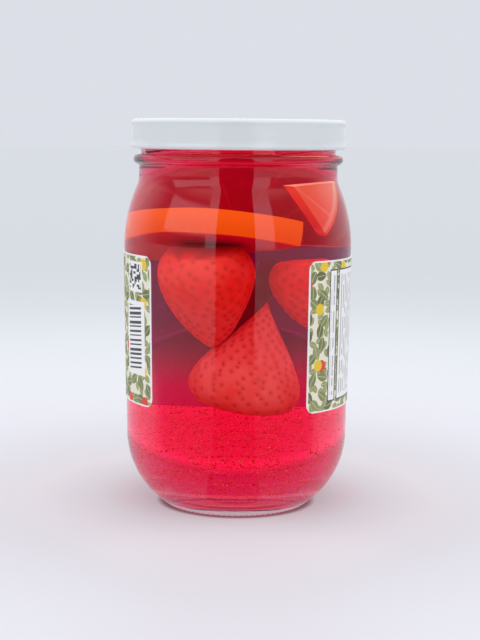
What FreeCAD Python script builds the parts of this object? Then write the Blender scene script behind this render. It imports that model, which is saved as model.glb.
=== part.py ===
import FreeCAD, Part
import math
import os
from collections import namedtuple

import Sketcher

# A one-pound glass food jar: a pressed glass body with a soft heel, a wall that widens slightly
# towards a sloping shoulder, a neck with a transfer bead and a twist-off finish, closed by a
# tinplate lid. A paper label wraps round the wall and leaves the front open, and the jar is
# filled to within a few millimetres of its rim. Millimetres, +Z up, the origin under the middle
# of the base, and -Y the front.

SIZES = {
    # Heights of the glass, stacked from the surface that the jar stands on.
    "heel_height": 24.6,
    "panel_height": 63.4,
    "shoulder_height": 24.2,
    "neck_height": 5.1,
    "finish_height": 12.1,
    # Radii and steps of the glass, from its widest ring to its mouth.
    "body_radius": 38.5,
    "panel_taper": 0.9,
    "shoulder_inset": 5.0,
    "neck_curve": 10.0,
    "finish_step": 0.7,
    "bead_projection": 2.6,
    "bead_curve": 1.65,
    "bearing_radius": 23.9,
    "bearing_land": 1.6,
    "push_up": 2.4,
    # Thickness of the glass at the wall, the mouth and the floor.
    "wall": 2.6,
    "finish_wall": 2.3,
    "floor_thickness": 3.0,
    "mouth_curve": 12.0,
    # The filling stops short of the rim.
    "headspace": 6.35,
    "filling_clearance": 0.05,
    # The lid, whose skirt ends just above the bead.
    "tinplate": 0.3,
    "skirt_gap": 3.1,
    "bead_gap": 1.75,
    "lid_corner": 1.6,
    "channel_depth": 0.9,
    "channel_width": 3.2,
    "channel_slope": 1.2,
    "curl_radius": 0.95,
    "lug_clearance": 0.45,
    "lug_height": 0.9,
    "lug_arc": 20.0,
    "lug_count": 4,
    # The label, set in from both ends of the wall; its two ends are angles from the front.
    "label_foot": 11.5,
    "label_head": 2.2,
    "label_thickness": 0.25,
    "label_clearance": 0.05,
    "label_right_end": 36.9,
    "label_left_end": 46.6,
    "label_corner": 3.0,
}

# Heights and radii that several pieces share, as formulas on the sheet.
PANEL_TOP = "(sizes.heel_height + sizes.panel_height)"
NECK_TOP = f"({PANEL_TOP} + sizes.shoulder_height)"
BEAD_LEVEL = f"({NECK_TOP} + sizes.neck_height)"
RIM = f"({BEAD_LEVEL} + sizes.finish_height)"
NECK_RADIUS = "(sizes.body_radius - sizes.shoulder_inset)"
FINISH_RADIUS = f"({NECK_RADIUS} - sizes.finish_step)"
BEAD_RADIUS = f"({FINISH_RADIUS} + sizes.bead_projection)"
BORE_RADIUS = f"({FINISH_RADIUS} - sizes.finish_wall)"
PANEL_FOOT = "(sizes.body_radius - sizes.panel_taper)"
FLOOR = "(sizes.push_up + sizes.floor_thickness)"

Corner = namedtuple("Corner", "radius height curve turn", defaults=(None, 1))


def make_sheet(doc):
    """The driving dimensions, one to a row, each with its name as its alias."""
    sheet = doc.addObject("Spreadsheet::Sheet", "sizes")
    for row, (name, value) in enumerate(SIZES.items(), start=1):
        sheet.set(f"A{row}", name)
        sheet.set(f"B{row}", str(value))
        sheet.setAlias(f"B{row}", name)
    doc.recompute()
    return sheet


def start_body(doc, name):
    """An empty body under its own label."""
    body = doc.addObject("PartDesign::Body", name)
    body.Label = name
    return body


def upright_curve(inset, rise):
    """The radius of an arc that is vertical at one end and moves in by inset over a rise."""
    return f"((({inset})^2 + ({rise})^2) / (2 * ({inset})))"


def first_arc(start, end, radius, turn):
    """An arc of less than half a circle from start to end, turning left for 1 or right for -1."""
    chord = end.sub(start)
    reach = math.sqrt(max(radius**2 - (chord.Length / 2) ** 2, 0.0))
    side = FreeCAD.Vector(-chord.y, chord.x, 0).normalize().multiply(turn * reach)
    centre = start.add(end).multiply(0.5).add(side)
    first, last = (start, end) if turn > 0 else (end, start)
    angles = [math.atan2(point.y - centre.y, point.x - centre.x) for point in (first, last)]
    circle = Part.Circle(centre, FreeCAD.Vector(0, 0, 1), radius)
    return Part.ArcOfCircle(circle, angles[0], angles[1])


def pin(sketch, geometry, point, corner):
    """Holds one end of a line or arc at the corner's radius and height."""
    pulls = [("DistanceX", -2, corner.radius), ("DistanceY", -1, corner.height)]
    for kind, axis, formula in pulls:
        if formula == "0":
            sketch.addConstraint(Sketcher.Constraint("PointOnObject", geometry, point, axis))
            continue
        value = float(sketch.evalExpression(formula))
        index = sketch.addConstraint(Sketcher.Constraint(kind, -1, 1, geometry, point, value))
        sketch.setExpression(f"Constraints[{index}]", formula)


def draw_outline(body, name, corners):
    """A closed half section, walked from corner to corner, on the body's XZ plane.

    A corner with a curve is reached by an arc of that radius, any other by a straight line.
    """
    sketch = body.newObject("Sketcher::SketchObject", name)
    plane = next(item for item in body.Origin.OriginFeatures if item.Role == "XZ_Plane")
    sketch.AttachmentSupport = [(plane, "")]
    sketch.MapMode = "FlatFace"
    places = []
    for corner in corners:
        radius, height = (float(sketch.evalExpression(text)) for text in corner[:2])
        places.append(FreeCAD.Vector(radius, height, 0))
    ends = []
    for index, corner in enumerate(corners):
        start, end = places[index - 1], places[index]
        if corner.curve is None:
            geometry = sketch.addGeometry(Part.LineSegment(start, end), False)
            ends.append((geometry, 1, 2))
            continue
        radius = float(sketch.evalExpression(corner.curve))
        geometry = sketch.addGeometry(first_arc(start, end, radius, corner.turn), False)
        ends.append((geometry, 1, 2) if corner.turn > 0 else (geometry, 2, 1))
        number = sketch.addConstraint(Sketcher.Constraint("Radius", geometry, radius))
        sketch.setExpression(f"Constraints[{number}]", corner.curve)
    for index, corner in enumerate(corners):
        geometry, _, arrival = ends[index]
        following, departure, _ = ends[(index + 1) % len(ends)]
        sketch.addConstraint(
            Sketcher.Constraint("Coincident", geometry, arrival, following, departure)
        )
        pin(sketch, geometry, arrival, corner)
    return sketch


def turn_round(body, name, sketch, angle="360"):
    """Revolves a half section about the jar's axis."""
    turning = body.newObject("PartDesign::Revolution", name)
    turning.Profile = sketch
    turning.ReferenceAxis = (sketch, ["V_Axis"])
    turning.setExpression("Angle", angle)
    return turning


def shoulder_corners(start_radius, end_radius, end_curve):
    """The shoulder's two arcs, upright at both ends and tangent where they meet."""
    inset = f"({start_radius} - {end_radius})"
    both_curves = upright_curve(inset, "sizes.shoulder_height")
    upper_share = f"({end_curve} / {both_curves})"
    meeting_radius = f"({end_radius} + {inset} * {upper_share})"
    meeting_height = f"({NECK_TOP} - sizes.shoulder_height * {upper_share})"
    shoulder = Corner(meeting_radius, meeting_height, f"({both_curves} - {end_curve})", 1)
    neck = Corner(end_radius, NECK_TOP, end_curve, -1)
    return shoulder, neck


def hollow_corners(clearance, top):
    """The inside of the glass up to the height top, from the axis at the floor to the wall."""
    inner_foot = f"({PANEL_FOOT} - sizes.wall - {clearance})"
    inner_head = f"(sizes.body_radius - sizes.wall - {clearance})"
    bore = f"({BORE_RADIUS} - {clearance})"
    heel_curve = f"(sizes.heel_height - {FLOOR})"
    return [
        Corner("0", FLOOR),
        Corner(f"({inner_foot} - {heel_curve})", FLOOR),
        Corner(inner_foot, "sizes.heel_height", heel_curve, 1),
        Corner(inner_head, PANEL_TOP),
        *shoulder_corners(inner_head, bore, "sizes.mouth_curve"),
        Corner(bore, top),
    ]


def make_jar(doc):
    """The glass: one revolved section from the pushed-up base to the rounded rim, and the bead."""
    body = start_body(doc, "jar")
    bearing_inner = "(sizes.bearing_radius - sizes.bearing_land)"
    half_rim = "(sizes.finish_wall / 2)"
    rim_crown = f"({BORE_RADIUS} + {half_rim})"
    inside = hollow_corners("0", f"({RIM} - {half_rim})")
    corners = [
        Corner("0", "sizes.push_up"),
        Corner(bearing_inner, "0", upright_curve("sizes.push_up", bearing_inner), -1),
        Corner("sizes.bearing_radius", "0"),
        Corner(
            PANEL_FOOT,
            "sizes.heel_height",
            upright_curve(f"{PANEL_FOOT} - sizes.bearing_radius", "sizes.heel_height"),
        ),
        Corner("sizes.body_radius", PANEL_TOP),
        *shoulder_corners("sizes.body_radius", NECK_RADIUS, "sizes.neck_curve"),
        Corner(NECK_RADIUS, BEAD_LEVEL),
        Corner(FINISH_RADIUS, BEAD_LEVEL),
        Corner(FINISH_RADIUS, f"({RIM} - {half_rim})"),
        Corner(rim_crown, RIM, half_rim),
        Corner(BORE_RADIUS, f"({RIM} - {half_rim})", half_rim),
    ]
    # Back down the inside: each arc is walked the other way, so its curve moves to the
    # corner before it and its turn is reversed.
    for here, above in zip(reversed(inside[:-1]), reversed(inside)):
        turn = -above.turn if above.curve else 1
        corners.append(Corner(here.radius, here.height, above.curve, turn))
    turn_round(body, "glass", draw_outline(body, "glass_section", corners))
    bead_centre = f"({BEAD_RADIUS} - sizes.bead_curve)"
    bead = [
        Corner(BEAD_RADIUS, BEAD_LEVEL, "sizes.bead_curve"),
        Corner(bead_centre, f"({BEAD_LEVEL} + sizes.bead_curve)", "sizes.bead_curve"),
        Corner(f"({bead_centre} - sizes.bead_curve)", BEAD_LEVEL, "sizes.bead_curve"),
        Corner(bead_centre, f"({BEAD_LEVEL} - sizes.bead_curve)", "sizes.bead_curve"),
    ]
    turn_round(body, "bead", draw_outline(body, "bead_section", bead))
    return body


def make_liquid(doc):
    """The filling, with everything in it, up to its level in the neck."""
    body = start_body(doc, "liquid")
    level = f"({RIM} - sizes.headspace)"
    corners = hollow_corners("sizes.filling_clearance", level)
    corners.append(Corner("0", level))
    turn_round(body, "filling", draw_outline(body, "filling_section", corners))
    return body


def make_lid(doc):
    """The twist-off lid: a drawn shell with a rolled edge, and lugs pressed in from the roll.

    The channel over the rim is filled with sealing compound down to the panel's underside.
    """
    body = start_body(doc, "lid")
    radius = f"({FINISH_RADIUS} + sizes.skirt_gap + sizes.tinplate)"
    top = f"({RIM} + sizes.channel_depth + sizes.tinplate)"
    panel = f"({RIM} + sizes.tinplate)"
    channel_inner = f"({FINISH_RADIUS} - sizes.channel_width)"
    compound_edge = f"({FINISH_RADIUS} + sizes.tinplate)"
    foot = f"({BEAD_LEVEL} + sizes.bead_curve + sizes.bead_gap)"
    roll = "sizes.curl_radius"
    roll_inside = "(sizes.curl_radius - sizes.tinplate)"
    roll_radius = f"({radius} - {roll})"
    roll_level = f"({foot} + {roll})"
    corner_foot = f"({top} - sizes.lid_corner)"
    shell = [
        Corner("0", RIM),
        Corner(compound_edge, RIM),
        Corner(compound_edge, f"({top} - sizes.tinplate)"),
        Corner(f"({radius} - sizes.lid_corner)", f"({top} - sizes.tinplate)"),
        Corner(
            f"({radius} - sizes.tinplate)",
            corner_foot,
            "(sizes.lid_corner - sizes.tinplate)",
            -1,
        ),
        Corner(f"({radius} - sizes.tinplate)", roll_level),
        Corner(roll_radius, f"({roll_level} - {roll_inside})", roll_inside, -1),
        Corner(f"({roll_radius} - {roll_inside})", roll_level, roll_inside, -1),
        Corner(roll_radius, f"({roll_level} + {roll_inside})", roll_inside, -1),
        Corner(roll_radius, f"({roll_level} + {roll})"),
        Corner(f"({roll_radius} - {roll})", roll_level, roll),
        Corner(roll_radius, foot, roll),
        Corner(radius, roll_level, roll),
        Corner(radius, corner_foot),
        Corner(f"({radius} - sizes.lid_corner)", top, "sizes.lid_corner"),
        Corner(f"({channel_inner} + sizes.channel_slope)", top),
        Corner(channel_inner, panel),
        Corner("0", panel),
    ]
    turn_round(body, "shell", draw_outline(body, "shell_section", shell))
    lug_inner = f"({FINISH_RADIUS} + sizes.lug_clearance)"
    lug_outer = f"({roll_radius} - {roll} + sizes.tinplate / 2)"
    lug_foot = f"({roll_level} - sizes.lug_height / 2)"
    lug_head = f"({roll_level} + sizes.lug_height / 2)"
    lug = [
        Corner(lug_inner, lug_foot),
        Corner(lug_outer, lug_foot),
        Corner(lug_outer, lug_head),
        Corner(lug_inner, lug_head),
    ]
    first_lug = turn_round(body, "lug", draw_outline(body, "lug_section", lug), "sizes.lug_arc")
    doc.recompute()
    lugs = body.newObject("PartDesign::PolarPattern", "lugs")
    lugs.Originals = [first_lug]
    lugs.Axis = (first_lug.Profile[0], ["V_Axis"])
    lugs.Angle = 360
    lugs.setExpression("Occurrences", "sizes.lug_count")
    body.Tip = lugs
    return body


def make_label(doc):
    """The paper label: a thin shell on the tapering wall, open at the front, corners rounded."""
    body = start_body(doc, "label")
    slope = "(sizes.panel_taper / sizes.panel_height)"
    skin = "(sizes.label_clearance + sizes.label_thickness)"
    wall_foot = f"({PANEL_FOOT} + {slope} * sizes.label_foot)"
    wall_head = f"(sizes.body_radius - {slope} * sizes.label_head)"
    foot = "(sizes.heel_height + sizes.label_foot)"
    head = f"({PANEL_TOP} - sizes.label_head)"
    strip = [
        Corner(f"({wall_foot} + sizes.label_clearance)", foot),
        Corner(f"({wall_foot} + {skin})", foot),
        Corner(f"({wall_head} + {skin})", head),
        Corner(f"({wall_head} + sizes.label_clearance)", head),
    ]
    sketch = draw_outline(body, "strip_section", strip)
    wrap = turn_round(
        body, "wrap", sketch, "360 - sizes.label_right_end - sizes.label_left_end"
    )
    doc.recompute()
    corner_edges = [
        f"Edge{number}"
        for number, edge in enumerate(wrap.Shape.Edges, start=1)
        if edge.Length < 2 * SIZES["label_thickness"]
    ]
    corners = body.newObject("PartDesign::Fillet", "corners")
    corners.Base = (wrap, corner_edges)
    corners.setExpression("Radius", "sizes.label_corner")
    body.Tip = corners
    # The strip starts on +X; the front is -Y, a quarter turn before it.
    body.Placement = FreeCAD.Placement(
        FreeCAD.Vector(0, 0, 0), FreeCAD.Rotation(FreeCAD.Vector(0, 0, 1), 0)
    )
    body.setExpression("Placement.Rotation.Angle", "sizes.label_right_end - 90")
    return body


def check(doc, bodies):
    """Stops if any object failed or any sub-part is not one sound solid."""
    for item in doc.Objects:
        if "Invalid" in item.State or "Error" in item.State:
            raise RuntimeError(f"{item.Name} failed: {item.State}")
    for body in bodies:
        shape = body.Shape
        if shape.isNull() or not shape.isValid() or len(shape.Solids) != 1:
            raise RuntimeError(f"{body.Label} is not one valid solid")
        box = shape.BoundBox
        print(
            f"{body.Label:8s} {shape.Volume / 1000:8.2f} cm3   "
            f"x {box.XMin:.2f}..{box.XMax:.2f}  y {box.YMin:.2f}..{box.YMax:.2f}  "
            f"z {box.ZMin:.2f}..{box.ZMax:.2f}"
        )


def main():
    doc = FreeCAD.newDocument("food_jar")
    make_sheet(doc)
    bodies = [make_jar(doc), make_liquid(doc), make_lid(doc), make_label(doc)]
    doc.recompute()
    check(doc, bodies)
    os.makedirs("parts", exist_ok=True)
    for body in bodies:
        body.Shape.exportStep(f"parts/{body.Label}.step")


main()
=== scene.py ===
# %% [markdown]
# # A jar of fruit in red liquid
# This lesson dresses a jar whose working solids come from a CAD model: a glass body, a twist-off
# lid, a paper label and the liquid. The frame is loaded first, because every visible piece takes
# its place and its size from it. All lengths are in metres and +Z is up; the front is -Y.

# %% The frame
import math
import random

import bpy
from mathutils import Euler, Matrix, Vector, kdtree, noise


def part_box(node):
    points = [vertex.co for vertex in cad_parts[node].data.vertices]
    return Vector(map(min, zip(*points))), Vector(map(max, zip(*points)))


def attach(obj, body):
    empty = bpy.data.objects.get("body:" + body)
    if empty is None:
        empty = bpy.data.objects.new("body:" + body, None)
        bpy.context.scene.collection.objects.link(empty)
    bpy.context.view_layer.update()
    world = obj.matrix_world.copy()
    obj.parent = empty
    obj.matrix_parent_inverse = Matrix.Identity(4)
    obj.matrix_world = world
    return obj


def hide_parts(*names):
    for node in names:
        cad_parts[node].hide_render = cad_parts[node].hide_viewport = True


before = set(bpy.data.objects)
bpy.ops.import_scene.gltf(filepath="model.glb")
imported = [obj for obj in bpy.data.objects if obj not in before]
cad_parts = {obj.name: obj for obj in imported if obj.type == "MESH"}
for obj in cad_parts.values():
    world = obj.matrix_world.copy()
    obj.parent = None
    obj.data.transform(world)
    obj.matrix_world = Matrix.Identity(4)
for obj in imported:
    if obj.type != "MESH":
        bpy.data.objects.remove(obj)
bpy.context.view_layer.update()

MM = 0.001
_, jar_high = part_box("jar")
lid_low, lid_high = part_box("lid")
liquid_low, liquid_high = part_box("liquid")
label_low, label_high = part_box("label")
print("nodes in the frame:", sorted(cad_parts))

# %% [markdown]
# ## Writing a finish as sums
# A material is a graph of nodes. Wiring it by hand takes many lines, so one class holds a material
# while it is made, and another wraps one output, so that plus, minus and times add the Math nodes.

# %% Numbers that live in a material
class Value:
    """One output of a node, used in sums as if it were a number."""

    def __init__(self, recipe, socket):
        self.recipe = recipe
        self.socket = socket

    def math(self, operation, *others):
        return self.recipe.math(operation, self, *others)

    def __add__(self, other):
        return self.math("ADD", other)

    __radd__ = __add__

    def __sub__(self, other):
        return self.math("SUBTRACT", other)

    def __rsub__(self, other):
        return self.recipe.math("SUBTRACT", other, self)

    def __mul__(self, other):
        return self.math("MULTIPLY", other)

    def __truediv__(self, other):
        return self.math("DIVIDE", other)

    def __lt__(self, other):
        return self.math("LESS_THAN", other)

    def __gt__(self, other):
        return self.math("GREATER_THAN", other)


class Recipe:
    """The node tree of a material or of the world while it is being written."""

    def __init__(self, name, tree=None):
        if tree is None:
            self.material = bpy.data.materials.new(name)
            self.material.use_nodes = True
            tree = self.material.node_tree
        self.tree = tree
        self.tree.nodes.clear()

    def node(self, kind, settings=None, sockets=None):
        """Adds a node: its settings first, then the values or links of its input sockets."""
        node = self.tree.nodes.new(kind)
        for name, setting in (settings or {}).items():
            setattr(node, name, setting)
        for name, given in (sockets or {}).items():
            if isinstance(given, Value):
                self.tree.links.new(given.socket, node.inputs[name])
            else:
                node.inputs[name].default_value = given
        return node

    def value(self, kind, output, settings=None, sockets=None):
        return Value(self, self.node(kind, settings, sockets).outputs[output])

    def math(self, operation, *terms):
        sockets = dict(enumerate(terms))
        return self.value("ShaderNodeMath", 0, {"operation": operation}, sockets)

    def vector(self, operation, *terms, **named):
        """Sums of whole vectors: ADD, SUBTRACT, FLOOR, or SCALE with its Scale."""
        sockets = {**dict(enumerate(terms)), **named}
        return self.value("ShaderNodeVectorMath", 0, {"operation": operation}, sockets)

    def ray(self, kind):
        """1 for the rays of one kind, Camera, Glossy or Transmission, and 0 for the others."""
        return self.value("ShaderNodeLightPath", f"Is {kind} Ray")

    def smooth(self, amount, low, high):
        """Rises smoothly from 0 at low to 1 at high."""
        settings = {"interpolation_type": "SMOOTHSTEP"}
        sockets = {"Value": amount, "From Min": low, "From Max": high}
        return self.value("ShaderNodeMapRange", 0, settings, sockets)

    def mix(self, factor, first, second):
        """Goes from the first colour to the second as the factor goes from 0 to 1."""
        sockets = {0: factor, 6: first, 7: second}
        return self.value("ShaderNodeMix", 2, {"data_type": "RGBA"}, sockets)

    def ramp(self, amount, stops):
        """Reads a colour off a scale with (position, colour) stops."""
        node = self.node("ShaderNodeValToRGB", None, {"Fac": amount})
        marks = node.color_ramp.elements
        while len(marks) < len(stops):
            marks.new(0.5)
        for mark, (position, colour) in zip(marks, stops):
            mark.position = position
            mark.color = colour
        return Value(self, node.outputs[0])

    def grain(self, vector, scale, detail=2.0):
        """Soft noise between 0 and 1, about as coarse as 1 / scale."""
        sockets = {"Vector": vector, "Scale": scale, "Detail": detail}
        return self.value("ShaderNodeTexNoise", 0, None, sockets)

    def place(self):
        """Where a point lies on the object, in metres."""
        return self.value("ShaderNodeTexCoord", 3)

    def map_place(self):
        """Where a point lies on the piece's own flat map."""
        return self.value("ShaderNodeTexCoord", 2)

    def split(self, vector):
        node = self.node("ShaderNodeSeparateXYZ", None, {"Vector": vector})
        return [Value(self, node.outputs[axis]) for axis in range(3)]

    def bump(self, height, strength, distance):
        sockets = {"Height": height, "Strength": strength, "Distance": distance}
        return self.value("ShaderNodeBump", 0, None, sockets)

    def surface(self, colour, roughness, normal=None, more=None, volume=None):
        """Ends the material in a Principled shader; more holds the rest of its sockets."""
        sockets = {"Base Color": colour, "Roughness": roughness, **(more or {})}
        if normal is not None:
            sockets["Normal"] = normal
        shader = self.value("ShaderNodeBsdfPrincipled", 0, None, sockets)
        ends = {"Surface": shader}
        if volume is not None:
            ends["Volume"] = volume
        self.node("ShaderNodeOutputMaterial", None, ends)
        return self.material


print("a recipe can be written as sums")

# %% [markdown]
# ## The camera
# A long lens from half a metre away, a little above the jar's shoulder and tipped down a few
# degrees, gives the nearly upright sides and the shallow curves of a product photograph. It comes
# first, so that each piece can be looked at as soon as it is made.

# %% The camera
CAMERA_PLACE = (1.0 * MM, -499.8 * MM, 126.4 * MM)
CAMERA_TIP = 7.28
CAMERA_LEAN = 0.48
FOCAL_LENGTH = 82.8

bpy.ops.object.camera_add()
camera = bpy.context.object
camera.name = "camera"
camera.data.lens = FOCAL_LENGTH
camera.data.clip_start = 10 * MM
camera.matrix_world = (
    Matrix.Translation(CAMERA_PLACE)
    @ Matrix.Rotation(math.radians(90 - CAMERA_TIP), 4, "X")
    @ Matrix.Rotation(math.radians(CAMERA_LEAN), 4, "Z")
)
bpy.context.scene.camera = camera
bpy.context.scene.view_settings.view_transform = "Standard"
print("camera at", [round(number, 3) for number in camera.location])

# %% [markdown]
# ## Floor and light
# Clear glass shows what surrounds it, so the surroundings are modelled as a photographer sets them
# up: a white table, pale walls of light all round that grow brighter overhead, and one dark gap in
# front where the camera stands. The table's tone changes with the distance from the jar as painted
# light and shade, the way a table lit from above looks: a painted shadow close to the jar, and a
# painted pool of light and a painted shade in front of it. Light gathers under and behind a full
# jar in ways that take a renderer long to find, so the table's tone there is painted as well:
# painted red light under the jar and a painted contact shadow round its foot, one painted tone for
# rays that come through the jar, and one for rays that the glass mirrors.

# %% The table
TABLE_SIZE = 12.0
TABLE_REACH = 0.90
# Painted light and shade on the table, by the distance from the jar: a painted shadow close to it,
# painted light further out, and darker again far away.
PAINTED_TABLE_SHADE_TONES = (
    (0.000, (0.42, 0.34, 0.37, 1)),
    (0.030, (0.46, 0.38, 0.41, 1)),
    (0.041, (0.54, 0.47, 0.50, 1)),
    (0.048, (0.56, 0.53, 0.56, 1)),
    (0.057, (0.59, 0.555, 0.59, 1)),
    (0.069, (0.62, 0.585, 0.62, 1)),
    (0.095, (0.60, 0.59, 0.63, 1)),
    (0.145, (0.64, 0.64, 0.69, 1)),
    (0.210, (0.66, 0.665, 0.705, 1)),
    (0.280, (0.65, 0.66, 0.70, 1)),
    (0.400, (0.607, 0.63, 0.665, 1)),
    (0.550, (0.545, 0.57, 0.60, 1)),
    (0.700, (0.515, 0.54, 0.57, 1)),
    (0.850, (0.505, 0.525, 0.555, 1)),
)
SHADE_SHIFT = 12.0 * MM
# Soft ovals in front of the jar, a painted pool of light and a painted shade: the middle, how x and
# y are weighed, and where the edge fades.
PAINTED_LIGHT_POOL = (0.71, 0.665, 0.695, 1)
PAINTED_LIGHT_POOL_SHARE = 0.6
PAINTED_LIGHT_POOL_OVAL = (-64 * MM, (1, 2), (12 * MM, 62 * MM))
PAINTED_FRONT_SHADE = (0.615, 0.59, 0.63, 1)
PAINTED_FRONT_SHADE_SHARE = 0.55
PAINTED_FRONT_SHADE_OVAL = (-150 * MM, (12, 1), (50 * MM, 190 * MM))
# Circles round the jar's axis: the radii between which one tone gives way to the next. Under the
# jar lies painted red light, round its foot a painted contact shadow, and what is seen through the
# jar or mirrored by it has painted tones of its own.
PAINTED_RED_CAUSTIC = (0.72, 0.03, 0.09, 1)
PAINTED_RED_CAUSTIC_EDGE = (23.6 * MM, 24.2 * MM)
PAINTED_CONTACT_SHADOW = (0.19, 0.06, 0.085, 1)
PAINTED_CONTACT_SHADOW_EDGE = (25.0 * MM, 28.0 * MM)
PAINTED_THROUGH_JAR_TONES = (
    (0.04, (0.96, 0.05, 0.28, 1)),
    (0.14, (0.68, 0.42, 0.56, 1)),
    (0.24, (0.88, 0.80, 0.86, 1)),
    (0.50, (0.64, 0.56, 0.64, 1)),
    (1.00, (0.50, 0.44, 0.52, 1)),
)
THROUGH_EDGE = (25.5 * MM, 27.5 * MM)
MIRRORED_NEAR = (0.08, 0.08, 0.08, 1)
MIRRORED_FAR = (0.58, 0.58, 0.60, 1)
MIRRORED_EDGE = (220 * MM, 360 * MM)
MIRRORED_BACK = (-60 * MM, 0.0)


def deselect():
    bpy.ops.object.select_all(action="DESELECT")


def dress(piece, *materials):
    """Gives the piece its finishes, one to a slot."""
    piece.data.materials.clear()
    for material in materials:
        piece.data.materials.append(material)


def oval(recipe, x, y, middle, weights, edge):
    """1 in the middle of a soft oval on the table and 0 outside it."""
    ahead = y - middle
    distance = (x * x * weights[0] + ahead * ahead * weights[1]).math("SQRT")
    return 1 - recipe.smooth(distance, *edge)


def table_finish():
    recipe = Recipe("table_white_painted_shade")
    x, y, _ = recipe.split(recipe.place())
    back = y - SHADE_SHIFT
    shade = (x * x + back * back).math("SQRT")
    # Painted light and shade, measured from a point just behind the jar.
    tone = recipe.ramp(shade / TABLE_REACH, [(r / TABLE_REACH, c) for r, c in PAINTED_TABLE_SHADE_TONES])
    # A painted pool of light just in front of the jar, and a painted shade further out.
    tone = recipe.mix(oval(recipe, x, y, *PAINTED_LIGHT_POOL_OVAL) * PAINTED_LIGHT_POOL_SHARE, tone, PAINTED_LIGHT_POOL)
    tone = recipe.mix(oval(recipe, x, y, *PAINTED_FRONT_SHADE_OVAL) * PAINTED_FRONT_SHADE_SHARE, tone, PAINTED_FRONT_SHADE)
    distance = (x * x + y * y).math("SQRT")
    # Painted contact shadow round the foot, for the camera only.
    painted_contact_shadow = 1 - recipe.smooth(distance, *PAINTED_CONTACT_SHADOW_EDGE)
    tone = recipe.mix(painted_contact_shadow * recipe.ray("Camera"), tone, PAINTED_CONTACT_SHADOW)
    # Painted red light on the table under the jar, where light comes through the red liquid.
    tone = recipe.mix(1 - recipe.smooth(distance, *PAINTED_RED_CAUSTIC_EDGE), tone, PAINTED_RED_CAUSTIC)
    # Painted light and shade for what is seen through the jar: red light under it and painted tones
    # round it.
    through = recipe.ray("Transmission")
    outside_jar = recipe.smooth(distance, *THROUGH_EDGE)
    tone = recipe.mix(through * outside_jar, tone, recipe.ramp(distance, PAINTED_THROUGH_JAR_TONES))
    tone = recipe.mix(through * (1 - outside_jar), tone, PAINTED_RED_CAUSTIC)
    # A refracted ray counts as glossy too, so the mirrored ones are those that aren't transmitted.
    mirrored = recipe.ray("Glossy") * (1 - through) * (1 - recipe.smooth(y, *MIRRORED_BACK))
    # Painted reflection: close to the jar the table looks darker in the glass than it is.
    reflection = recipe.mix(recipe.smooth(distance, *MIRRORED_EDGE), MIRRORED_NEAR, MIRRORED_FAR)
    tone = recipe.mix(mirrored, tone, reflection)
    return recipe.surface(tone, 0.7)


deselect()
bpy.ops.mesh.primitive_circle_add(vertices=96, radius=TABLE_SIZE, fill_type="NGON")
table = bpy.context.object
table.name = "table"
dress(table, table_finish())
print("table", TABLE_SIZE * 2, "m across")

# %% The light all round
HORIZON_LIGHT = (0.84, 0.86, 0.90, 1)
OVERHEAD_LIGHT = (1.42, 1.43, 1.45, 1)
FRONT_LIGHT = (0.24, 0.25, 0.28, 1)
WINDOW_LIGHT = (1.35, 1.45, 1.65, 1)
BACKGROUND = (0.72, 0.74, 0.80, 1)
# Stretches of the tent: from, to and how soft the edges are. Sides are in radians from the front,
# and heights go from 0 at the horizon to 1 overhead.
OVERHEAD_FADE = (0.0, 0.9)
LOW_HEIGHTS = (-0.2, 0.62, 0.12)
FRONT_SIDES = (-1.8, 1.8, 0.35)
WIDE_WINDOW_SIDES = (-1.4, -0.345, 0.03)
WIDE_WINDOW_HEIGHTS = (0.15, 0.50, 0.03)
LEFT_WINDOW_SIDES = (-0.56, -0.345, 0.02)
RIGHT_WINDOW_SIDES = (0.26, 0.65, 0.02)


def between(recipe, amount, low, high, soft):
    """1 between low and high, fading out softly at both ends."""
    rise = recipe.smooth(amount, low - soft, low + soft)
    return rise * (1 - recipe.smooth(amount, high - soft, high + soft))


def light_world():
    world = bpy.data.worlds.new("tent")
    bpy.context.scene.world = world
    world.use_nodes = True
    recipe = Recipe("tent", world.node_tree)
    x, y, height = recipe.split(recipe.value("ShaderNodeTexCoord", 0))
    side = x.math("ARCTAN2", 0 - y)
    tent = recipe.mix(recipe.smooth(height, *OVERHEAD_FADE), HORIZON_LIGHT, OVERHEAD_LIGHT)
    low = between(recipe, height, *LOW_HEIGHTS) * recipe.ray("Glossy")
    tent = recipe.mix(between(recipe, side, *FRONT_SIDES) * low, tent, FRONT_LIGHT)
    wide = between(recipe, side, *WIDE_WINDOW_SIDES)
    wide = wide * between(recipe, height, *WIDE_WINDOW_HEIGHTS)
    left = between(recipe, side, *LEFT_WINDOW_SIDES).math("MAXIMUM", wide) * low
    right = between(recipe, side, *RIGHT_WINDOW_SIDES) * low
    tent = recipe.mix(left.math("MAXIMUM", right), tent, WINDOW_LIGHT)
    # What is seen straight or through the glass is a plain pale wall, not the tent.
    plain = recipe.ray("Camera").math("MAXIMUM", recipe.ray("Transmission"))
    colour = recipe.mix(plain, tent, BACKGROUND)
    light = recipe.value("ShaderNodeBackground", 0, None, {"Color": colour, "Strength": 1.0})
    recipe.node("ShaderNodeOutputWorld", None, {"Surface": light})


light_world()
print("the tent is lit")

# %% [markdown]
# The dark gap is a wedge of black cloth. It lies on the table, widens away from the jar and is
# folded up at its far edge. Only reflections see it, and only its upper side, and it gives the
# clear glass its dark edges.

# %% The dark gap in front
GAP_DISTANCE = 400 * MM
GAP_EDGES = (-150 * MM, 120 * MM)
GAP_HEIGHT = 900 * MM
GAP_NEAR = 30 * MM
CLOTH_LIFT = 0.5 * MM
BLACK = (0.01, 0.01, 0.012, 1)


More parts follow.
